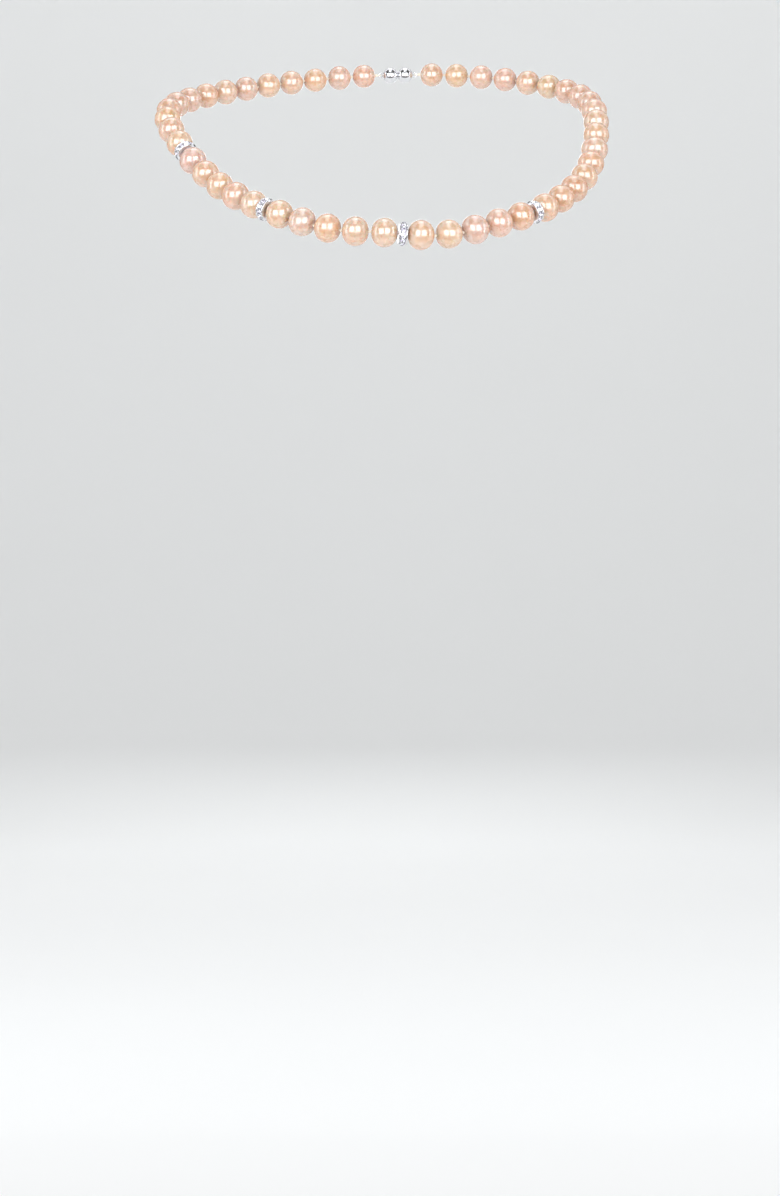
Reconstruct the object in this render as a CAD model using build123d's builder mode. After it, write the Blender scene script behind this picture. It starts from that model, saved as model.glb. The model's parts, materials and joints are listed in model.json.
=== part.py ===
"""Pearl necklace: a closed strand of knotted pearls with crystal rondelles and a magnetic ball clasp.

Millimetres, +Z up, front towards -Y. The origin is the middle of the loop, on the neck's axis.
"""

import os
from math import cos, exp, pi, sin

from build123d import *

# Centre line of the strand as it lies round a neck: its waves across, from front to back and up,
# then the sway of the beads beside the front rondelle
half_width = 76.2
side_square = 6.0
egg_width = -7.9
shoulder_set = -0.8
side_shift = 2.8
side_curl = 1.9
side_wave = -2.0
front_to_middle = 56.8
nape_round = 2.0
front_square = 5.7
side_twist = 6.5
drop = 32.9
chest_dip = 1.7
shoulder_rise = 1.0
front_hang = 0.4
nape_lift = 0.5
side_lift = 1.7
side_tilt = 0.3
side_roll = 0.3
sway = 0.74
sway_rate = 10.65
sway_turn = 0.67
sway_fade = 0.55
middle_x = 6.95
middle_z = 0.4
march_gain = 1 / 75.0

# Pearls
left_pearls = 24
right_pearls = 23
front_length = 8.5
nape_length = 7.91
front_diameter = 9.7
nape_diameter = 8.3
size_wobble = 0.1
bore_diameter = 0.9

# Silk
thread_diameter = 0.6
knot_diameter = 1.0
knot_gap = 0.95
plain_bend_diameter = 0.76
end_loop_radius = 0.6
end_loop_wire = 0.4

# Crystal rondelles
left_rondelles_after = (5, 10)
right_rondelles_after = (5,)
rondelle_length = 2.7
rondelle_gap = 0.3
flange_diameter = 7.2
flange_thickness = 0.42
flange_bevel = 0.15
hub_diameter = 3.4
rondelle_bore = 1.2
stone_count = 12
stone_diameter = 1.7
stone_out = 3.8
stone_crown = 0.4
stone_table = 0.5
stone_girdle = 0.12
stone_depth = 1.3

# Magnetic ball clasp
ball_diameter = 5.5
ball_flat = 2.55
ball_gap = 0.1
ring_radius = 0.75
ring_wire = 0.5
ring_offset = 3.35
magnet_diameter = 1.8
magnet_length = 2.6
magnet_sunk = 0.05
magnet_clearance = 0.03


def strand_point(t):
    """A point of the strand's centre line: t is 0 at the front and pi or -pi at the clasp."""
    x = middle_x + half_width * sin(t) + egg_width * sin(2 * t) + side_square * sin(3 * t) + shoulder_set * sin(4 * t)
    x += side_shift * (cos(t) - 1) + side_curl * (cos(2 * t) - 1) + side_wave * (cos(3 * t) - 1)
    y = -front_to_middle * cos(t) + nape_round * (cos(2 * t) - 1) - front_square * cos(3 * t)
    y += side_twist * sin(t)
    z = -drop * cos(t) - chest_dip * (cos(2 * t) - 1) - shoulder_rise * cos(3 * t) + front_hang * cos(4 * t)
    z += side_lift * sin(t) - side_tilt * sin(2 * t) - side_roll * sin(4 * t) - nape_lift * cos(5 * t)
    z -= sway * sin(sway_rate * t - sway_turn) * exp(-((t / sway_fade) ** 2)) + middle_z
    return Vector(x, y, z)


def step_along(start, t, step, way):
    """The centre line's point that is a straight step away from start, and its t."""
    for _ in range(25):
        t += way * march_gain * (step - (strand_point(t) - start).length)
    return strand_point(t), t


def strand_plane(centre, direction):
    """A plane across a bead: X along the thread and Z level, out of the loop."""
    level = direction.cross(Vector(0, 0, 1)).normalized()
    return Plane(origin=centre, x_dir=direction, z_dir=level)


def string_side(way, count, rondelles_after):
    """The beads of one side from the front to the nape, as (kind, number, centre, direction, length, width)."""
    beads = []
    kinds = []
    for number in range(1, count + 1):
        share = (number - 1) / (count - 1)
        wobble = size_wobble * sin(2.4 * number * way)
        length = front_length + (nape_length - front_length) * share
        width = nape_diameter + (front_diameter - nape_diameter) * (1 - share) ** 1.2 + wobble
        kinds.append(("pearl", number, length, width))
        if number in rondelles_after:
            kinds.append(("rondelle", number, rondelle_length, flange_diameter))
    t = 0.0
    here, t = step_along(strand_point(0), t, rondelle_length / 2 + rondelle_gap / 2, way)
    hinges = [here]
    gap_before = rondelle_gap
    for place, (kind, number, length, width) in enumerate(kinds):
        last = place == len(kinds) - 1
        by_rondelle = kind == "rondelle" or (not last and kinds[place + 1][0] == "rondelle")
        gap_after = rondelle_gap if by_rondelle else knot_gap
        reach = gap_before / 2 + length + gap_after / 2
        there, t = step_along(here, t, reach, way)
        direction = (there - here).normalized()
        centre = here + direction * (gap_before / 2 + length / 2)
        beads.append((kind, number, centre, direction, length, width))
        hinges.append(there)
        here = there
        gap_before = gap_after
    return beads, hinges


left_beads, left_hinges = string_side(-1, left_pearls, left_rondelles_after)
right_beads, right_hinges = string_side(1, right_pearls, right_rondelles_after)
front_direction = (right_hinges[0] - left_hinges[0]).normalized()
front_centre = (right_hinges[0] + left_hinges[0]) * 0.5
clasp_direction = (right_hinges[-1] - left_hinges[-1]).normalized()
clasp_centre = (right_hinges[-1] + left_hinges[-1]) * 0.5

os.makedirs("parts", exist_ok=True)

# Pearls: one arc over the equator from drill hole to drill hole, so slightly flattened along the thread
for side, beads in (("left", left_beads), ("right", right_beads)):
    for kind, number, centre, direction, length, width in beads:
        if kind != "pearl":
            continue
        bore_left = (-length / 2, bore_diameter / 2)
        bore_right = (length / 2, bore_diameter / 2)
        with BuildPart() as pearl:
            with BuildSketch(strand_plane(centre, direction)):
                with BuildLine():
                    ThreePointArc(bore_left, (0, width / 2), bore_right)
                    Line(bore_right, bore_left)
                make_face()
            revolve(axis=Axis(centre, direction))
        pearl.part.label = f"pearl_{side}_{number:02d}"
        export_step(pearl.part, f"parts/pearl_{side}_{number:02d}.step")

# Crystal rondelles: two flanges on a hub, with a ring of faceted stones between them
rondelles = [("centre", front_centre, front_direction)]
for side, beads in (("left", left_beads), ("right", right_beads)):
    for kind, number, centre, direction, length, width in beads:
        if kind == "rondelle":
            rondelles.append((f"{side}_{number:02d}", centre, direction))

for name, centre, direction in rondelles:
    across = Plane(origin=centre, x_dir=strand_plane(centre, direction).z_dir, z_dir=direction)
    with BuildPart() as frame:
        for end in (-1, 1):
            outer_face = across.offset(end * rondelle_length / 2)
            with BuildSketch(outer_face):
                Circle(flange_diameter / 2)
            extrude(amount=-end * flange_thickness)
            rim = frame.edges().filter_by(GeomType.CIRCLE).sort_by(Axis(centre, direction))
            chamfer(rim[-1 if end > 0 else 0], flange_bevel)
        with BuildSketch(across.offset(-rondelle_length / 2)):
            Circle(hub_diameter / 2)
        extrude(amount=rondelle_length)
        with BuildSketch(across.offset(-rondelle_length / 2)):
            Circle(rondelle_bore / 2)
        extrude(amount=rondelle_length, mode=Mode.SUBTRACT)
    frame.part.label = f"rondelle_{name}_frame"
    export_step(frame.part, f"parts/rondelle_{name}_frame.step")

    with BuildPart() as stones:
        for place in range(stone_count):
            turn = 2 * pi * (place + 0.5) / stone_count
            outward = across.x_dir * cos(turn) + across.y_dir * sin(turn)
            table_centre = centre + outward * stone_out
            with BuildSketch(Plane(origin=table_centre, x_dir=direction, z_dir=direction.cross(outward))):
                with BuildLine():
                    Polyline(
                        (0, 0),
                        (stone_table, 0),
                        (stone_diameter / 2, -stone_crown),
                        (stone_diameter / 2, -stone_crown - stone_girdle),
                        (0, -stone_depth),
                        close=True,
                    )
                make_face()
            revolve(axis=Axis(table_centre, outward))
    stones.part.label = f"rondelle_{name}_crystals"
    export_step(stones.part, f"parts/rondelle_{name}_crystals.step")

# Clasp: two silver balls with small flats, a ring loop on each and a magnet let into each flat
for side, way in (("left", -1), ("right", 1)):
    outward = clasp_direction * way
    ball_centre = clasp_centre + outward * (ball_flat + ball_gap / 2)
    flat_face = Plane(origin=ball_centre - outward * ball_flat, z_dir=outward)
    ring_centre = ball_centre + outward * ring_offset
    with BuildPart() as ball:
        with Locations(Plane(origin=ball_centre, z_dir=outward)):
            Sphere(ball_diameter / 2)
        split(bisect_by=flat_face, keep=Keep.TOP)
        with Locations(Plane(origin=ring_centre, z_dir=strand_plane(ring_centre, outward).z_dir)):
            Torus(ring_radius, ring_wire / 2)
        with BuildSketch(flat_face):
            Circle(magnet_diameter / 2 + magnet_clearance)
        extrude(amount=magnet_length + magnet_sunk + magnet_clearance, mode=Mode.SUBTRACT)
    ball.part.label = f"clasp_{side}_ball"
    export_step(ball.part, f"parts/clasp_{side}_ball.step")

    with BuildPart() as magnet:
        with BuildSketch(flat_face.offset(magnet_sunk)):
            Circle(magnet_diameter / 2)
        extrude(amount=magnet_length)
    magnet.part.label = f"clasp_{side}_magnet"
    export_step(magnet.part, f"parts/clasp_{side}_magnet.step")

# Silk: one thread through every bore, a knot between pearls and a loop through each clasp ring
loop_centres = []
for way in (-1, 1):
    loop_reach = ball_flat + ball_gap / 2 + ring_offset + ring_radius
    loop_centres.append(clasp_centre + clasp_direction * way * loop_reach)
loop_ends = [
    loop_centres[0] - clasp_direction * end_loop_radius,
    loop_centres[1] + clasp_direction * end_loop_radius,
]
route = [loop_ends[0]] + left_hinges[::-1] + right_hinges + [loop_ends[1]]
knots = []
for beads, hinges in ((left_beads, left_hinges), (right_beads, right_hinges)):
    for place, bead in enumerate(beads):
        next_kind = beads[place + 1][0] if place + 1 < len(beads) else "pearl"
        if bead[0] == "pearl" and next_kind == "pearl":
            knots.append(hinges[place + 1])

with BuildPart() as silk:
    for start, end in zip(route, route[1:]):
        with BuildSketch(Plane(origin=start, z_dir=end - start)):
            Circle(thread_diameter / 2)
        extrude(amount=(end - start).length)
    for before, bend in zip(route, route[1:-1]):
        with Locations(Plane(origin=bend, z_dir=bend - before)):
            Sphere((knot_diameter if bend in knots else plain_bend_diameter) / 2)
    for loop_centre in loop_centres:
        with Locations(loop_centre):
            Torus(end_loop_radius, end_loop_wire / 2)
silk.part.label = "silk_thread"
export_step(silk.part, "parts/silk_thread.step")
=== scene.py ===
"""Looks of the pearl necklace: nacre pearls on knotted silk, crystal rondelles and a magnetic ball clasp.

Metres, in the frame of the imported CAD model: +Z up, front towards -Y, origin in the middle of the loop.
Each bead has its own axes: X along the thread, Z level and out of the loop.
"""

import json
import random
from math import asin, cos, hypot, pi, radians, sin, sqrt, tau

import bmesh
import bpy
from mathutils import Matrix, Vector


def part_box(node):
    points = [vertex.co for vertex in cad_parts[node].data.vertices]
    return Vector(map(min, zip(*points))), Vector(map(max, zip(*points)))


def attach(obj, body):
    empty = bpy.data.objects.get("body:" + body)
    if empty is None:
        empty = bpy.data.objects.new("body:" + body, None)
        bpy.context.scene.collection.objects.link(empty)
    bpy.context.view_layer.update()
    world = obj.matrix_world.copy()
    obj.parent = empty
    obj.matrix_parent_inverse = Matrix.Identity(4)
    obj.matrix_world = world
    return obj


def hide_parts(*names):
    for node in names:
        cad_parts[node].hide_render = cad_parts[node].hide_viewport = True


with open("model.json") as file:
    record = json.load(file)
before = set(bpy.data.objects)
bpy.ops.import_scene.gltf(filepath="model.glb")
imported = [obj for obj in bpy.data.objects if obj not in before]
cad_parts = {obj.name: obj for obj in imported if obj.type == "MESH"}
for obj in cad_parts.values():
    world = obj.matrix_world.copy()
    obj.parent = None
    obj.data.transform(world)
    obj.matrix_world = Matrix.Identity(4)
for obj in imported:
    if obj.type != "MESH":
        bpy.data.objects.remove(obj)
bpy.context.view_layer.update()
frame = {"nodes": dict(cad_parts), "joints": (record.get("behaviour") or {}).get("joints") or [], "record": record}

MM = 0.001
UP = Vector((0, 0, 1))

# Pearls
bore_radius = 0.45 * MM
bore_lip = 0.13 * MM
lip_depth = 0.7  # of bore_lip, along the bore
lip_corner = (0.2, 0.3)  # of bore_lip, along the bore and out from it
bore_half_steps = 4
pearl_turns = 72
pearl_rings = 44
unevenness = 0.011
unevenness_drawn_in = 0.5  # of the unevenness, to keep the bulges inside the CAD pearl
nacre_shift = 50  # how far apart two pearls' patterns are taken from the same noise, in pearl radii

# Silk, as two twisted plies
thread_radius = 0.3 * MM
thread_sides = 12
ply_pitch = 1.3 * MM
steps_per_ply = 8
ply_mean = 0.87
ply_swell = 0.13
knot_strand = 0.19 * MM
knot_sides = 10
knot_steps = 90
knot_around = 0.24 * MM
knot_swing = 0.15 * MM
knot_reach = 0.28 * MM
loop_radius = 0.6 * MM
loop_strand = 0.2 * MM
loop_steps = 48

# Rondelles
flange_radius = 3.5 * MM
flange_thickness = 0.5 * MM
flange_lobe = 0.05 * MM
hub_radius = 1.7 * MM
rondelle_bore = 0.6 * MM
flange_softness = 0.3  # of its thickness
turns_per_stone = 12
milgrain_count = 60
milgrain_radius = 0.09 * MM
milgrain_sunk = (0.6, 0.3)  # of its radius, along the thread and towards the axis
claw_radius = 0.17 * MM
claw_aside = 0.55  # of half the room between the flanges
claw_foot_aside = 0.8
claw_drop = 0.8  # of the stone's crown
stem_radius = 0.7 * claw_radius
stem_steps = 3
stem_sides = 8
stone_count = 12
stone_radius = 0.85 * MM
stone_out = 3.8 * MM
stone_crown = 0.42 * MM
stone_girdle = 0.1 * MM
stone_depth = 1.3 * MM
table_share = 0.56  # of the stone's radius
bezel_share = 0.80
bezel_drop = 0.5  # of the crown
pavilion_share = 0.42
pavilion_drop = 0.62  # of the depth under the girdle
foil_margin = 0.02 * MM

# Clasp
ball_radius = 2.75 * MM
ball_flat = 2.55 * MM
ball_softness = 0.03 * MM
ball_steps = 60
ball_turns = 72
seam_step = ball_steps // 2 - 2
seam_depth = 0.03 * MM
collar_from = 0.97  # of the ball's radius, along the thread
collar_to = 1.05
collar_radius = 0.62 * MM
collar_cap = 0.7  # of the collar's radius
ring_radius = 0.75 * MM
ring_strand = 0.25 * MM
ring_offset = 3.35 * MM
ring_steps = 64
ring_sides = 16
magnet_radius = 0.9 * MM
magnet_length = 2.6 * MM
magnet_sunk = 0.05 * MM
magnet_softness = 0.06 * MM
magnet_face_ring = 0.5  # of its radius
magnet_turns = 48
pocket_radius = 0.93 * MM
pocket_spare = 0.03 * MM

# Nacre body colours, and how far one pearl's colour may stray from its slot's
nacre_colours = {
    "pearl_peach": (0.585, 0.37, 0.242),
    "pearl_pink": (0.575, 0.37, 0.26),
    "pearl_cream": (0.585, 0.39, 0.264),
}
colour_stray = 0.02
deeper_pearls = ("right_05", "right_07", "right_08", "right_09", "right_10")
deeper_by = (0.97, 0.91, 0.85)
paler_pearls = ("left_01", "left_02", "left_04", "left_09", "left_10", "right_02", "right_03")
paler_by = (0.99, 1.04, 1.08)
rosy_pearls = ("left_04", "left_07", "left_10", "right_03", "right_04")
rosy_by = (1.0, 0.97, 1.01)

# Nacre patterns, in features to the pearl's radius, and what each one does to the body colour
cloud_scale = 1.1
mottle_scale = 2.6
ring_scale = 2.2
peel_scale = 11.0
cloud_cast = (0.97, 0.82, 0.68)
cloud_depth = 0.6
mottle_cast = (1.0, 0.93, 0.90)
mottle_depth = 0.28
# Painted shade: the body colour is multiplied by this darker, warmer orange towards the rim as the camera sees it
painted_rim_shade_cast = (1.08, 0.84, 0.62)
painted_rim_shade_reach = (0.35, 0.85)
nacre_relief = 0.03 * MM
nacre_scatter = (1.0, 0.42, 0.22)
scatter_reach = 3.5 * MM

# The two colours that each other surface runs between
silver_colours = ((0.72, 0.71, 0.74), (0.92, 0.92, 0.94))
crystal_colours = ((0.97, 0.97, 1.0), (1.0, 1.0, 1.0))
# Foil: its bright silver, and a dark colour painted in patches as dark glints of reflected studio
foil_and_painted_glint_colours = ((0.36, 0.33, 0.39), (0.95, 0.95, 0.97))
silk_colours = ((0.91, 0.79, 0.64), (0.97, 0.90, 0.79))
magnet_colours = ((0.42, 0.42, 0.44), (0.62, 0.62, 0.64))
paper_colours = ((0.86, 0.86, 0.855), (0.89, 0.89, 0.885))
flag_colours = ((0.05, 0.05, 0.05), (0.09, 0.09, 0.09))

# Camera
camera_place = (2.83 * MM, -1.263, -150.75 * MM)
camera_lens = 112.7
camera_reach = 20

# Softboxes as (azimuth, elevation, distance, width, height, radiance).
# Azimuth 0 is the camera's side and 90 is +X.
softboxes = {
    "key_left": (-26, 4, 1.35, 1.0, 1.1, 4.15),
    "key_right": (26, 4, 1.35, 1.0, 1.1, 4.15),
    "side_right": (80, 4, 1.3, 0.35, 1.2, 2.8),
    "side_left": (-80, 2, 1.3, 0.4, 1.5, 2.8),
    "overhead": (0, 80, 1.25, 0.62, 1.9, 1.65),
    "back": (180, 8, 1.3, 0.5, 0.4, 2.6),
}
softbox_colour = (0.95, 0.98, 1.0)
wash_size = (3.0, 0.6)
wash_energy = 8
wash_place = (0, 0.35, 1.1)
wash_tilt = radians(62)

# World, as reflections see it on the camera's side and behind, and as the camera sees it
world_front = (0.1, 0.1, 0.1)
world_back = (0.9, 0.9, 0.91)
world_turn = (-0.25, 0.35)  # where the front gives way to the back, from -1 to 1
surroundings = (0.84, 0.84, 0.84)

# Floor, cove and dark flag
floor_level = -0.3
floor_front = -0.9
floor_half_width = 2.6
cove_start = 1.1
cove_radius = 0.7
cove_steps = 24
cove_top = 2.2
front_fade_start = 0.0
front_fade_end = -0.6
side_fade_start = 0.5
side_fade_end = 1.1
flag_back = -0.22
flag_half_width = 0.75
flag_lift = 0.01


# ---------------------------------------------------------------- materials


def new_material(name):
    """A material with an empty node tree, and the tree."""
    material = bpy.data.materials.new(name)
    material.use_nodes = True
    material.node_tree.nodes.clear()
    return material, material.node_tree


def add(tree, kind, settings=None, **inputs):
    """A node with its settings and inputs; an input is a value or another node's socket."""
    made = tree.nodes.new(kind)
    for key, value in (settings or {}).items():
        setattr(made, key, value)
    for key, value in inputs.items():
        socket = made.inputs[key.replace("_", " ")]
        if isinstance(value, bpy.types.NodeSocket):
            tree.links.new(value, socket)
        else:
            socket.default_value = value
    return made


def mix(tree, factor, a, b, blend="MIX"):
    """The colour a changed into b by the factor."""
    made = tree.nodes.new("ShaderNodeMix")
    made.data_type = "RGBA"
    made.blend_type = blend
    for socket, value in ((made.inputs[0], factor), (made.inputs[6], a), (made.inputs[7], b)):
        if isinstance(value, bpy.types.NodeSocket):
            tree.links.new(value, socket)
        else:
            socket.default_value = value
    return made.outputs[2]


def ramp(tree, factor, low, high, to_low=0.0, to_high=1.0):
    """The factor stretched smoothly from low..high to to_low..to_high."""
    made = add(tree, "ShaderNodeMapRange", {"interpolation_type": "SMOOTHSTEP"}, Value=factor)
    for key, value in (("From Min", low), ("From Max", high), ("To Min", to_low), ("To Max", to_high)):
        made.inputs[key].default_value = value
    return made.outputs[0]


def noise(tree, vector, scale, detail=2.0):
    """Soft noise about 0.5, with that many features to the vector's unit."""
    return add(tree, "ShaderNodeTexNoise", Vector=vector, Scale=scale, Detail=detail).outputs[0]


def surface(tree, **inputs):
    """The principled shader, joined to the material's output."""
    shader = add(tree, "ShaderNodeBsdfPrincipled", **inputs)
    add(tree, "ShaderNodeOutputMaterial", Surface=shader.outputs[0])
    return shader


def rgba(colour):
    """A colour with alpha."""
    return (*colour, 1.0)


def between(tree, factor, colours):
    """The first of two colours changed into the second by the factor."""
    first, second = colours
    return mix(tree, factor, rgba(first), rgba(second))


def object_place(tree):
    """Where a point is in its object's own space."""
    return add(tree, "ShaderNodeTexCoord").outputs["Object"]


def nacre(slot):
    """Pearl: a saturated body with cloudy patches and faint growth rings under a clear glossy skin.

    Towards its rim, as the camera sees it, the body is painted a darker, warmer orange: painted shade for the
    orange shadow at the pearls' edges and where they overlap.
    """
    material, tree = new_material(slot)
    place = add(tree, "ShaderNodeAttribute", {"attribute_name": "nacre_place"}).outputs["Vector"]
    tint = add(tree, "ShaderNodeAttribute", {"attribute_name": "tint"}).outputs["Color"]
    clouds = noise(tree, place, cloud_scale)
    mottle = noise(tree, place, mottle_scale)
    deeper = mix(tree, 1.0, tint, rgba(cloud_cast), "MULTIPLY")
    body = mix(tree, ramp(tree, clouds, 0.5, 0.75, 0.0, cloud_depth), tint, deeper)
    paler = mix(tree, 0.3, body, rgba(mottle_cast))
    patched = mix(tree, ramp(tree, mottle, 0.42, 0.65, 0.0, mottle_depth), body, paler)
    # Painted shade: a darker, warmer orange towards the rim as the camera sees it
    facing = add(tree, "ShaderNodeLayerWeight", Blend=0.5).outputs["Facing"]
    glow = mix(tree, 1.0, patched, rgba(painted_rim_shade_cast), "MULTIPLY")
    colour = mix(tree, ramp(tree, facing, *painted_rim_shade_reach), patched, glow)
    rings = add(
        tree,
        "ShaderNodeTexWave",
        {"wave_type": "BANDS", "bands_direction": "X"},
        Vector=place,
        Scale=ring_scale,
        Distortion=3.0,
        Detail=2.0,
    ).outputs[1]
    peel = noise(tree, place, peel_scale, 3.0)
    ridged = add(tree, "ShaderNodeBump", Strength=0.07, Distance=nacre_relief, Height=rings).outputs[0]
    relief = add(tree, "ShaderNodeBump", Strength=0.05, Distance=nacre_relief, Height=peel, Normal=ridged)
    surface(
        tree,
        Base_Color=colour,
        Roughness=ramp(tree, mottle, 0.3, 0.7, 0.24, 0.32),
        IOR=1.95,
        Specular_Tint=(0.8, 0.94, 1.0, 1.0),
        Normal=relief.outputs[0],
        Subsurface_Weight=0.6,
        Subsurface_Radius=nacre_scatter,
        Subsurface_Scale=scatter_reach,
        Coat_Weight=1.0,
        Coat_Roughness=0.08,
        Coat_IOR=1.8,
        Sheen_Weight=0.15,
        Sheen_Roughness=0.4,
        Sheen_Tint=(1.0, 0.93, 0.88, 1.0),
    )
    return material


def silver(slot):
    """Rhodium plate: a bright polish, darker and lighter in patches, with fine scratches."""
    material, tree = new_material(slot)
    place = object_place(tree)
    cloud = noise(tree, place, 900.0, 3.0)
    scratches = noise(tree, place, 9000.0)
    relief = add(tree, "ShaderNodeBump", Strength=0.12, Distance=0.01 * MM, Height=scratches)
    surface(
        tree,
        Base_Color=between(tree, cloud, silver_colours),
        Metallic=1.0,
        Roughness=ramp(tree, cloud, 0.35, 0.65, 0.12, 0.22),
        Normal=relief.outputs[0],
    )
    return material


def crystal(slot):
    """Cut glass, very slightly cool."""
    material, tree = new_material(slot)
    place = object_place(tree)
    cast = noise(tree, place, 700.0)
    surface(
        tree,
        Base_Color=between(tree, cast, crystal_colours),
        Roughness=0.02,
        IOR=1.65,
        Transmission_Weight=1.0,
    )
    return material


def foil(name):
    """The mirror backing of the stones, painted dark in patches: painted dark glints for facets that reflect the
    dark studio.
    """
    material, tree = new_material(name)
    place = object_place(tree)
    # Painted dark glints: patches of dark foil standing in for facet reflections
    cast = ramp(tree, noise(tree, place, 1500.0), 0.4, 0.6)
    surface(
        tree,
        Base_Color=between(tree, cast, foil_and_painted_glint_colours),
        Metallic=1.0,
        Roughness=0.12,
    )
    return material


def silk(slot):
    """Cream silk: fine fibres along the ply, with a soft sheen."""
    material, tree = new_material(slot)
    place = object_place(tree)
    fibres = noise(tree, place, 14000.0, 3.0)
    shade = noise(tree, place, 1800.0)
    relief = add(tree, "ShaderNodeBump", Strength=0.5, Distance=0.02 * MM, Height=fibres)
    surface(
        tree,
        Base_Color=between(tree, shade, silk_colours),
        Roughness=ramp(tree, fibres, 0.3, 0.7, 0.5, 0.7),
        Normal=relief.outputs[0],
        Sheen_Weight=0.5,
        Sheen_Roughness=0.4,
    )
    return material


def magnet_steel(slot):
    """Nickel plate on a ground magnet face."""
    material, tree = new_material(slot)
    place = object_place(tree)
    grind = noise(tree, place, 6000.0)
    relief = add(tree, "ShaderNodeBump", Strength=0.3, Distance=0.01 * MM, Height=grind)
    surface(
        tree,
        Base_Color=between(tree, grind, magnet_colours),
        Metallic=1.0,
        Roughness=ramp(tree, grind, 0.3, 0.7, 0.25, 0.4),
        Normal=relief.outputs[0],
    )
    return material


def paper():
    """The pale floor and its cove.

    The camera sees it fade into the surroundings in front and at the sides.
    """
    material, tree = new_material("paper")
    place = object_place(tree)
    sheet = between(tree, noise(tree, place, 3.0), paper_colours)
    lit = add(tree, "ShaderNodeBsdfPrincipled", Base_Color=sheet, Roughness=0.9)
    faded = add(tree, "ShaderNodeEmission", Color=rgba(surroundings))
    spot = add(tree, "ShaderNodeSeparateXYZ", Vector=place).outputs
    aside = add(tree, "ShaderNodeMath", {"operation": "ABSOLUTE"}, Value=spot["X"]).outputs[0]
    seen = add(tree, "ShaderNodeLightPath").outputs["Is Camera Ray"]
    in_front = ramp(tree, spot["Y"], front_fade_end, front_fade_start, 1.0, 0.0)
    edges = mix(tree, 1.0, in_front, ramp(tree, aside, side_fade_start, side_fade_end), "LIGHTEN")
    share = mix(tree, seen, rgba((0, 0, 0)), edges)
    look = add(tree, "ShaderNodeMixShader", Fac=share)
    tree.links.new(lit.outputs[0], look.inputs[1])
    tree.links.new(faded.outputs[0], look.inputs[2])
    add(tree, "ShaderNodeOutputMaterial", Surface=look.outputs[0])
    return material


def flag_black():
    """The dark card below the camera, put in only for reflections: it stands in for the dark studio there and
    gives the pearls a darker reflected band under their highlights.
    """
    material, tree = new_material("flag_black")
    place = object_place(tree)
    cloth = between(tree, noise(tree, place, 5.0), flag_colours)
    surface(tree, Base_Color=cloth, Roughness=0.9)
    return material


# ---------------------------------------------------------------- mesh tools


def put(name, data):
    """A new object in the scene for a mesh, a light or a camera."""
    made = bpy.data.objects.new(name, data)
    bpy.context.scene.collection.objects.link(made)
    return made


def new_piece(name, points, faces, material):
    """A smooth-shaded mesh object in the row frame."""
    mesh = bpy.data.meshes.new(name)
    mesh.from_pydata([tuple(p) for p in points], [], faces)
    mesh.materials.append(material)
    mesh.polygons.foreach_set("use_smooth", [True] * len(mesh.polygons))
    mesh.update()
    return put(name, mesh)


def stand_in(piece, body, slot, *nodes):
    """The piece rides on the body and is shown for the CAD nodes. The slot is not used."""
    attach(piece, body)
    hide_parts(*nodes)


def axes_at(origin, direction):
    """A bead's axes as a matrix."""
    along = direction.normalized()
    level = along.cross(UP).normalized()
    turned = Matrix((along, level.cross(along), level)).transposed().to_4x4()
    return Matrix.Translation(origin) @ turned


def middle(node):
    """The middle of a CAD node's box."""
    low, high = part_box(node)
    return (low + high) / 2


def half_sizes(node, axes):
    """Half of a CAD node's length along the thread, and its radius about it."""
    to_bead = axes.inverted()
    local = [to_bead @ vertex.co for vertex in frame["nodes"][node].data.vertices]
    return max(abs(p.x) for p in local), max(hypot(p.y, p.z) for p in local)


def around(along, out, turn):
    """A place in a bead's axes: so far along its X, and so far out from it at that turn."""
    return Vector((along, out * cos(turn), out * sin(turn)))


def lathe(profile, turns, axes, shape=None):
    """A profile of (along, out) turned about the bead's X, as points and faces.

    A profile that starts on the axis also ends on it. Any other closes on itself, round the bore.
    shape(along, out, turn) gives a changed (along, out).
    """
    points, rows = [], []
    for along, out in profile:
        count = turns if out > 0 else 1
        rows.append(range(len(points), len(points) + count))
        for k in range(count):
            turn = tau * k / turns
            x, r = shape(along, out, turn) if shape else (along, out)
            points.append(axes @ around(x, r, turn))
    pairs = list(zip(rows, rows[1:]))
    if profile[0][1] > 0:
        pairs.append((rows[-1], rows[0]))
    faces = []
    for first, second in pairs:
        for k in range(turns):
            after = (k + 1) % turns
            a, b = first[k % len(first)], first[after % len(first)]
            c, d = second[after % len(second)], second[k % len(second)]
            faces.append(list(dict.fromkeys((a, b, c, d))))
    return points, faces


def tube(path, outs, radius, sides, closed=False, pitch=0.0):
    """A round cord along a path, as points and faces. With a pitch it is two twisted plies.

    Each place of the path has its own direction out, which the cord's first side follows.
    """
    points, faces = [], []
    count = len(path)
    run = 0.0
    for k in range(count):
        before = path[k - 1] if closed or k else path[k]
        after = path[(k + 1) % count] if closed or k < count - 1 else path[k]
        tangent = (after - before).normalized()
        out = (outs[k] - tangent * outs[k].dot(tangent)).normalized()
        side = tangent.cross(out)
        if k:
            run += (path[k] - path[k - 1]).length
        lay = tau * run / pitch if pitch else 0.0
        for j in range(sides):
            turn = tau * j / sides
            r = radius * (ply_mean + ply_swell * cos(2 * (turn - lay))) if pitch else radius
            points.append(path[k] + out * (r * cos(turn)) + side * (r * sin(turn)))
    for k in range(count if closed else count - 1):
        for j in range(sides):
            a, b = k * sides + j, k * sides + (j + 1) % sides
            c, d = (b + sides) % (count * sides), (a + sides) % (count * sides)
            faces.append([a, b, c, d])
    if not closed:
        faces.append(list(range(sides))[::-1])
        faces.append(list(range((count - 1) * sides, count * sides)))
    return points, faces


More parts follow.
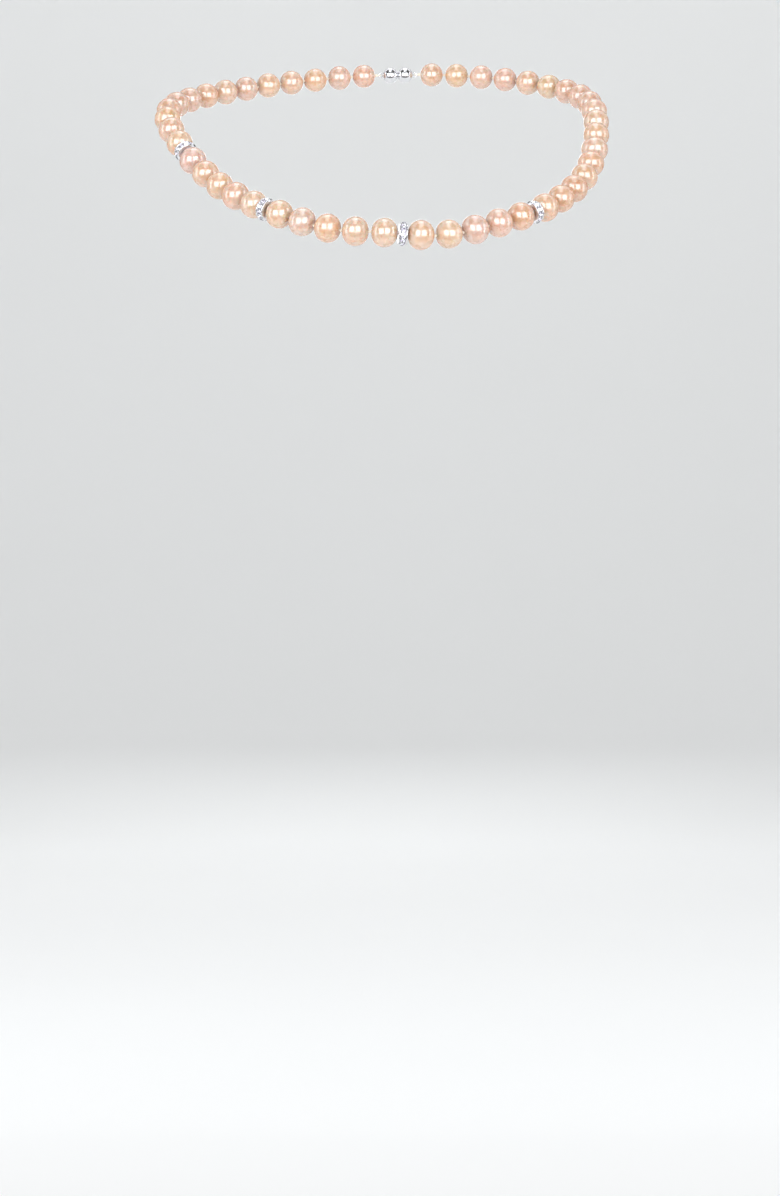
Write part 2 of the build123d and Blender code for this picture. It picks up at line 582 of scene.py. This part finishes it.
def hoop(centre, first, second, radius, strand, steps, sides, pitch=0.0):
    """A closed ring of cord or wire in the plane of two directions, as points and faces."""
    turns = [tau * k / steps for k in range(steps)]
    outs = [first * cos(turn) + second * sin(turn) for turn in turns]
    return tube([centre + out * radius for out in outs], outs, strand, sides, closed=True, pitch=pitch)


def joined(*meshes):
    """Several (points, faces) as one."""
    points, faces = [], []
    for more_points, more_faces in meshes:
        start = len(points)
        points += more_points
        faces += [[start + corner for corner in face] for face in more_faces]
    return points, faces


def bead(centre, radius):
    """A small round grain of metal, as points and faces."""
    shape = bmesh.new()
    bmesh.ops.create_icosphere(shape, subdivisions=2, radius=radius)
    made = [centre + v.co for v in shape.verts], [[v.index for v in face.verts] for face in shape.faces]
    shape.free()
    return made


# ---------------------------------------------------------------- pieces


def side_beads(side):
    """One side's bodies from the front to the clasp, each with where the silk enters it and leaves it."""
    joints = [joint for joint in frame["joints"] if joint["child"].split("_")[1] == side]
    entries = [Vector(joint["pos_m"]) for joint in joints]
    bodies = [joint["child"] for joint in joints]
    return list(zip(bodies, entries, entries[1:])), bodies[-1], entries[-1]


def pearl_tint(name, slot, dice):
    """One pearl's own body colour."""
    colour = nacre_colours[slot]
    changes = ((deeper_pearls, deeper_by), (paler_pearls, paler_by), (rosy_pearls, rosy_by))
    for chosen, factors in changes:
        if name in chosen:
            colour = [c * by for c, by in zip(colour, factors)]
    strays = [dice.uniform(-1, 1) * colour_stray * place for place in (1, 2, 3)]
    return [min(1.0, c * (1 + stray)) for c, stray in zip(colour, strays)]


def pearl_profile(half_length, radius):
    """Half a pearl's outline from drill hole to drill hole, then back through the bore."""
    lift = (radius**2 - half_length**2 - bore_radius**2) / (2 * (radius - bore_radius))
    bow = radius - lift
    start = asin((bore_radius + bore_lip - lift) / bow)
    profile = []
    for k in range(pearl_rings + 1):
        angle = start + (pi - 2 * start) * k / pearl_rings
        profile.append((-bow * cos(angle), lift + bow * sin(angle)))
    mouth = profile[-1][0]
    edge = mouth - lip_depth * bore_lip
    lip = (mouth - lip_corner[0] * bore_lip, bore_radius + lip_corner[1] * bore_lip)
    bore = [(edge * (1 - k / bore_half_steps), bore_radius) for k in range(2 * bore_half_steps + 1)]
    return profile + [lip] + bore + [(-lip[0], lip[1])]


def pearl(name, body, slot, material, axes):
    """A near-round pearl, drilled through, with softened edges to its hole."""
    half_length, radius = half_sizes(body, axes)
    dice = random.Random(name)
    first, second, third = (dice.uniform(0, tau) for _ in range(3))
    oval, lobe, lean = (dice.uniform(-1, 1) * unevenness for _ in range(3))

    def uneven(along, out, turn):
        belly = (out / radius) ** 2
        swell = oval * cos(2 * (turn - first)) + lobe * cos(3 * (turn - second))
        swell += lean * cos(turn - third) * along / half_length - unevenness * unevenness_drawn_in
        return along, out * (1 + swell * belly) if out > bore_radius + bore_lip else out

    points, faces = lathe(pearl_profile(half_length, radius), pearl_turns, axes, uneven)
    piece = new_piece(f"nacre_{name}", points, faces, material)
    offset = Vector([dice.uniform(-nacre_shift, nacre_shift) for _ in range(3)])
    to_bead = axes.inverted()
    places = [part for point in points for part in (to_bead @ point) / radius + offset]
    colours = (*pearl_tint(name, slot, dice), 1.0) * len(points)
    piece.data.attributes.new("nacre_place", "FLOAT_VECTOR", "POINT").data.foreach_set("vector", places)
    piece.data.attributes.new("tint", "FLOAT_COLOR", "POINT").data.foreach_set("color", colours)
    stand_in(piece, body, slot, body)


def thread(start, end, axes):
    """Twisted silk from start to end."""
    steps = max(2, round((end - start).length / ply_pitch * steps_per_ply))
    path = [start.lerp(end, k / steps) for k in range(steps + 1)]
    level = axes.col[2].to_3d()
    return tube(path, [level] * len(path), thread_radius, thread_sides, pitch=ply_pitch)


def knot(centre, axes):
    """A tight overhand knot about the thread: a three-lobed loop of the same silk."""
    spin = axes.to_3x3()
    path, outs = [], []
    for k in range(knot_steps):
        t = tau * k / knot_steps
        reach = knot_around + knot_swing * cos(3 * t)
        local = around(knot_reach * sin(3 * t), reach, 2 * t)
        core = around(0, knot_around, 2 * t)
        path.append(centre + spin @ local)
        outs.append(spin @ (local - core))
    return tube(path, outs, knot_strand, knot_sides, closed=True, pitch=ply_pitch / 2)


def thread_piece(name, body, material, axes, entry, leave, knotted):
    """A bead's own length of the silk, with the knot before it."""
    meshes = [thread(entry, leave, axes)]
    if knotted:
        meshes.append(knot(entry, axes))
    piece = new_piece(f"silk_{name}", *joined(*meshes), material)
    stand_in(piece, body, "silk", "silk_thread")


def lobe_out(out, turn):
    """A distance out from the axis, less at the notches between the flange's lobes."""
    return out + flange_lobe * (abs(sin(stone_count / 2 * turn)) - 1)


def rondelle_setting(name, body, node, material, axes):
    """The silver setting: lobed flanges on a hub, edged with milgrain, with claws between the stones."""
    half_length, _ = half_sizes(node, axes)
    inner = half_length - flange_thickness
    soft = flange_thickness * flange_softness
    wall = [
        (-half_length, rondelle_bore + soft),
        (-half_length, flange_radius - soft),
        (-half_length + soft, flange_radius),
        (-inner - soft, flange_radius),
        (-inner, flange_radius - soft),
        (-inner, hub_radius + soft),
        (-inner + soft, hub_radius),
    ]
    profile = wall + [(-along, out) for along, out in wall[::-1]]
    profile += [(half_length - soft, rondelle_bore), (-half_length + soft, rondelle_bore)]

    def lobed(along, out, turn):
        return along, out if out < flange_radius - 2 * soft else lobe_out(out, turn)

    meshes = [lathe(profile, stone_count * turns_per_stone, axes, lobed)]
    grain_along = half_length - milgrain_sunk[0] * milgrain_radius
    for end in (-1, 1):
        for k in range(milgrain_count):
            turn = tau * (k + 0.5) / milgrain_count
            out = lobe_out(flange_radius, turn) - milgrain_sunk[1] * milgrain_radius
            meshes.append(bead(axes @ around(end * grain_along, out, turn), milgrain_radius))
        for k in range(stone_count):
            turn = tau * k / stone_count
            tip = axes @ around(end * claw_aside * inner, stone_out - stone_crown * claw_drop, turn)
            foot = axes @ around(end * claw_foot_aside * inner, hub_radius, turn)
            meshes.append(bead(tip, claw_radius))
            meshes.append(claw_stem(foot, tip))
    piece = new_piece(f"setting_{name}", *joined(*meshes), material)
    stand_in(piece, body, "rhodium_silver", node)


def claw_stem(foot, tip):
    """The thin post under a claw's tip."""
    direction = (tip - foot).normalized()
    out = direction.orthogonal().normalized()
    path = [foot.lerp(tip, k / stem_steps) for k in range(stem_steps + 1)]
    return tube(path, [out] * len(path), stem_radius, stem_sides)


def stone_corners():
    """A round brilliant's facet corners about its own Z: the table at 0, the girdle and culet below it."""
    eighth, half_step = tau / 8, tau / 16
    corners = [(table_share * stone_radius, eighth * k, 0.0) for k in range(8)]
    bezel = -bezel_drop * stone_crown
    corners += [(bezel_share * stone_radius, eighth * k + half_step, bezel) for k in range(8)]
    corners += [(stone_radius, half_step * k, -stone_crown) for k in range(16)]
    corners += [(stone_radius, half_step * k, -stone_crown - stone_girdle) for k in range(16)]
    lower = -stone_crown - stone_girdle - pavilion_drop * (stone_depth - stone_crown - stone_girdle)
    corners += [(pavilion_share * stone_radius, eighth * k + half_step, lower) for k in range(8)]
    corners.append((0.0, 0.0, -stone_depth))
    return [Vector((r * cos(turn), r * sin(turn), z)) for r, turn, z in corners]


def rondelle_stones(name, body, node, materials, axes):
    """Twelve brilliants round the rondelle, clear in front of a mirror backing."""
    shape = bmesh.new()
    along = Vector((1, 0, 0))
    for k in range(stone_count):
        turn = tau * (k + 0.5) / stone_count
        outward = around(0, 1, turn)
        sideways = Vector((0, -sin(turn), cos(turn)))
        local = Matrix((along, -sideways, outward)).transposed().to_4x4()
        local.translation = outward * stone_out
        corners = [shape.verts.new(axes @ local @ corner) for corner in stone_corners()]
        bmesh.ops.convex_hull(shape, input=corners)
    to_bead = axes.inverted()
    girdle = stone_out - stone_crown - stone_girdle
    for face in shape.faces:
        spot = to_bead @ face.calc_center_median()
        turn = tau * (round(stone_count * angle_of(spot) / tau - 0.5) + 0.5) / stone_count
        height = spot.y * cos(turn) + spot.z * sin(turn)
        face.material_index = 1 if height < girdle - foil_margin else 0
    mesh = bpy.data.meshes.new(f"stones_{name}")
    shape.normal_update()
    shape.to_mesh(mesh)
    shape.free()
    for material in materials:
        mesh.materials.append(material)
    stand_in(put(f"stones_{name}", mesh), body, "crystal", node)


def angle_of(spot):
    """A point's turn about the bead's X, from 0 to a full turn."""
    return Vector((spot.y, spot.z)).angle_signed(Vector((1, 0))) % tau


def clasp_axes(side, other):
    """The axes of one clasp ball: X from the other ball out to its own ring."""
    ring_to_ring = middle(f"clasp_{side}_ball") - middle(f"clasp_{other}_ball")
    magnet_middle = middle(f"clasp_{side}_magnet")
    out = ring_to_ring.normalized()
    flat = magnet_middle - out * (magnet_length / 2 + magnet_sunk)
    return axes_at(flat + out * ball_flat, out)


def clasp_ball(side, body, material, axes):
    """A polished ball with a flat and a magnet pocket, a soldered seam, and a ring on a collar."""
    edge = sqrt(ball_radius**2 - ball_flat**2)
    pocket_end = -ball_flat + magnet_sunk + magnet_length + pocket_spare
    profile = [(pocket_end, 0.0), (pocket_end, pocket_radius), (-ball_flat + ball_softness, pocket_radius)]
    profile += [(-ball_flat, pocket_radius + ball_softness), (-ball_flat, edge - ball_softness)]
    start = asin(edge / ball_radius)
    for k in range(ball_steps):
        angle = start + (pi - start) * k / ball_steps
        along = -ball_radius * cos(angle)
        seam = seam_depth if k == seam_step else 0.0
        profile.append((along, (ball_radius - seam) * sin(angle)))
        if along > ball_radius * collar_from:
            break
    profile.append((ball_radius, collar_radius))
    profile.append((ball_radius * collar_to, collar_radius * collar_cap))
    profile.append((ball_radius * collar_to, 0.0))
    shell = lathe(profile, ball_turns, axes)
    centre = axes @ Vector((ring_offset, 0, 0))
    ring_plane = (axes.col[0].to_3d(), axes.col[1].to_3d())
    ring = hoop(centre, *ring_plane, ring_radius, ring_strand, ring_steps, ring_sides)
    piece = new_piece(f"clasp_{side}_shell", *joined(shell, ring), material)
    stand_in(piece, body, "rhodium_silver", f"clasp_{side}_ball")


def clasp_magnet(side, body, material, axes):
    """A ground disc magnet with a softened edge."""
    near = -ball_flat + magnet_sunk
    far = near + magnet_length
    rim = magnet_radius - magnet_softness
    profile = [(near, 0.0), (near, magnet_radius * magnet_face_ring), (near, rim)]
    profile += [(near + magnet_softness, magnet_radius), (far - magnet_softness, magnet_radius)]
    profile += [(far, rim), (far, 0.0)]
    piece = new_piece(f"clasp_{side}_disc", *lathe(profile, magnet_turns, axes), material)
    stand_in(piece, body, "magnet", f"clasp_{side}_magnet")


def end_loop(side, body, material, entry, axes):
    """The silk's end: the last knot, then a loop through the clasp's ring."""
    loop_middle = axes @ Vector((ring_offset + ring_radius, 0, 0))
    toward = (entry - loop_middle).normalized()
    bead_axes = axes_at(entry, -toward)
    level = bead_axes.col[2].to_3d()
    sizes = (loop_radius, loop_strand, loop_steps, thread_sides)
    loop = hoop(loop_middle, toward, level, *sizes, pitch=ply_pitch / 2)
    meshes = [thread(entry, loop_middle + toward * loop_radius, bead_axes), knot(entry, bead_axes), loop]
    piece = new_piece(f"silk_{side}_end", *joined(*meshes), material)
    stand_in(piece, body, "silk", "silk_thread")


# ---------------------------------------------------------------- stage


def floor_and_cove(material):
    """A pale sheet that runs back along the floor and curves up behind."""
    line = [(floor_front, floor_level), (cove_start, floor_level)]
    for k in range(1, cove_steps + 1):
        turn = pi / 2 * k / cove_steps
        line.append((cove_start + cove_radius * sin(turn), floor_level + cove_radius * (1 - cos(turn))))
    line.append((cove_start + cove_radius, cove_top))
    points = [(x, y, z) for y, z in line for x in (-floor_half_width, floor_half_width)]
    faces = [(2 * k, 2 * k + 1, 2 * k + 3, 2 * k + 2) for k in range(len(line) - 1)]
    return new_piece("floor", points, faces, material)


def dark_flag(material):
    """A card on the floor in front that only reflections see."""
    half, level = flag_half_width, floor_level + flag_lift
    front_edge = [(-half, floor_front, level), (half, floor_front, level)]
    back_edge = [(half, flag_back, level), (-half, flag_back, level)]
    card = new_piece("flag", front_edge + back_edge, [(0, 1, 2, 3)], material)
    card.visible_camera = False
    card.visible_diffuse = False
    card.visible_shadow = False
    card.visible_transmission = False
    return card


def area_light(name, size, energy, place, turn):
    """A rectangular light that the camera itself doesn't see."""
    light = bpy.data.lights.new(name, "AREA")
    light.shape = "RECTANGLE"
    light.size, light.size_y = size
    light.energy = energy
    lamp = put(name, light)
    lamp.location = place
    lamp.rotation_euler = turn
    lamp.visible_camera = False
    return light


def softbox(name, azimuth, elevation, distance, width, height, radiance):
    """A nearly white light that faces the necklace."""
    a, e = radians(azimuth), radians(elevation)
    towards = Vector((sin(a) * cos(e), -cos(a) * cos(e), sin(e)))
    facing = towards.to_track_quat("Z", "Y").to_euler()
    energy = radiance * pi * width * height
    light = area_light(name, (width, height), energy, towards * distance, facing)
    light.color = softbox_colour


def backdrop_wash():
    """A wide light above the necklace that faces only the cove."""
    area_light("wash", wash_size, wash_energy, wash_place, (wash_tilt, 0, 0))


def studio_world():
    """Dim on the camera's side and pale behind. The camera itself sees it pale all round."""
    world = bpy.data.worlds.new("studio")
    world.use_nodes = True
    tree = world.node_tree
    tree.nodes.clear()
    direction = add(tree, "ShaderNodeTexCoord").outputs["Generated"]
    depth = add(tree, "ShaderNodeSeparateXYZ", Vector=direction).outputs["Y"]
    lit = mix(tree, ramp(tree, depth, *world_turn), rgba(world_front), rgba(world_back))
    seen = add(tree, "ShaderNodeLightPath").outputs["Is Camera Ray"]
    colour = mix(tree, seen, lit, rgba(surroundings))
    glow = add(tree, "ShaderNodeBackground", Color=colour, Strength=1.0)
    add(tree, "ShaderNodeOutputWorld", Surface=glow.outputs[0])
    bpy.context.scene.world = world


def photo_camera():
    """A long lens, level, in front of and a little below the necklace."""
    camera = bpy.data.cameras.new("camera")
    camera.lens = camera_lens
    camera.clip_end = camera_reach
    holder = put("camera", camera)
    holder.location = camera_place
    holder.rotation_euler = (pi / 2, 0, 0)
    bpy.context.scene.camera = holder


# ---------------------------------------------------------------- assembly

slots = {part["node"]: part["material_slot"] for part in frame["record"]["subparts"]}
nacres = {slot: nacre(slot) for slot in nacre_colours}
plate = silver("rhodium_silver")
stone_materials = [crystal("crystal"), foil("stone_foil")]
cream_silk = silk("silk")
steel = magnet_steel("magnet")

left_beads, left_clasp, left_end = side_beads("left")
right_beads, right_clasp, right_end = side_beads("right")

front_run = axes_at(middle("rondelle_centre_frame"), right_beads[0][1] - left_beads[0][1])
rondelle_setting("centre", "front", "rondelle_centre_frame", plate, front_run)
rondelle_stones("centre", "front", "rondelle_centre_crystals", stone_materials, front_run)
thread_piece("centre", "front", cream_silk, front_run, left_beads[0][1], right_beads[0][1], False)

for beads in (left_beads, right_beads):
    was_pearl = False
    for body, entry, leave in beads:
        kind, name = body.split("_", 1)
        is_pearl = kind == "pearl"
        node = body if is_pearl else f"{body}_frame"
        axes = axes_at(middle(node), leave - entry)
        if is_pearl:
            pearl(name, body, slots[body], nacres[slots[body]], axes)
        else:
            rondelle_setting(name, body, node, plate, axes)
            rondelle_stones(name, body, f"{body}_crystals", stone_materials, axes)
        prefix = "" if is_pearl else "rondelle_"
        thread_piece(prefix + name, body, cream_silk, axes, entry, leave, is_pearl and was_pearl)
        was_pearl = is_pearl

clasp_ends = (("left", "right", left_clasp, left_end), ("right", "left", right_clasp, right_end))
for side, other, body, entry in clasp_ends:
    axes = clasp_axes(side, other)
    clasp_ball(side, body, plate, axes)
    clasp_magnet(side, body, steel, axes)
    end_loop(side, body, cream_silk, entry, axes)

floor_and_cove(paper())
dark_flag(flag_black())
for name, setting in softboxes.items():
    softbox(name, *setting)
backdrop_wash()
studio_world()
photo_camera()
bpy.context.scene.view_settings.view_transform = "Standard"
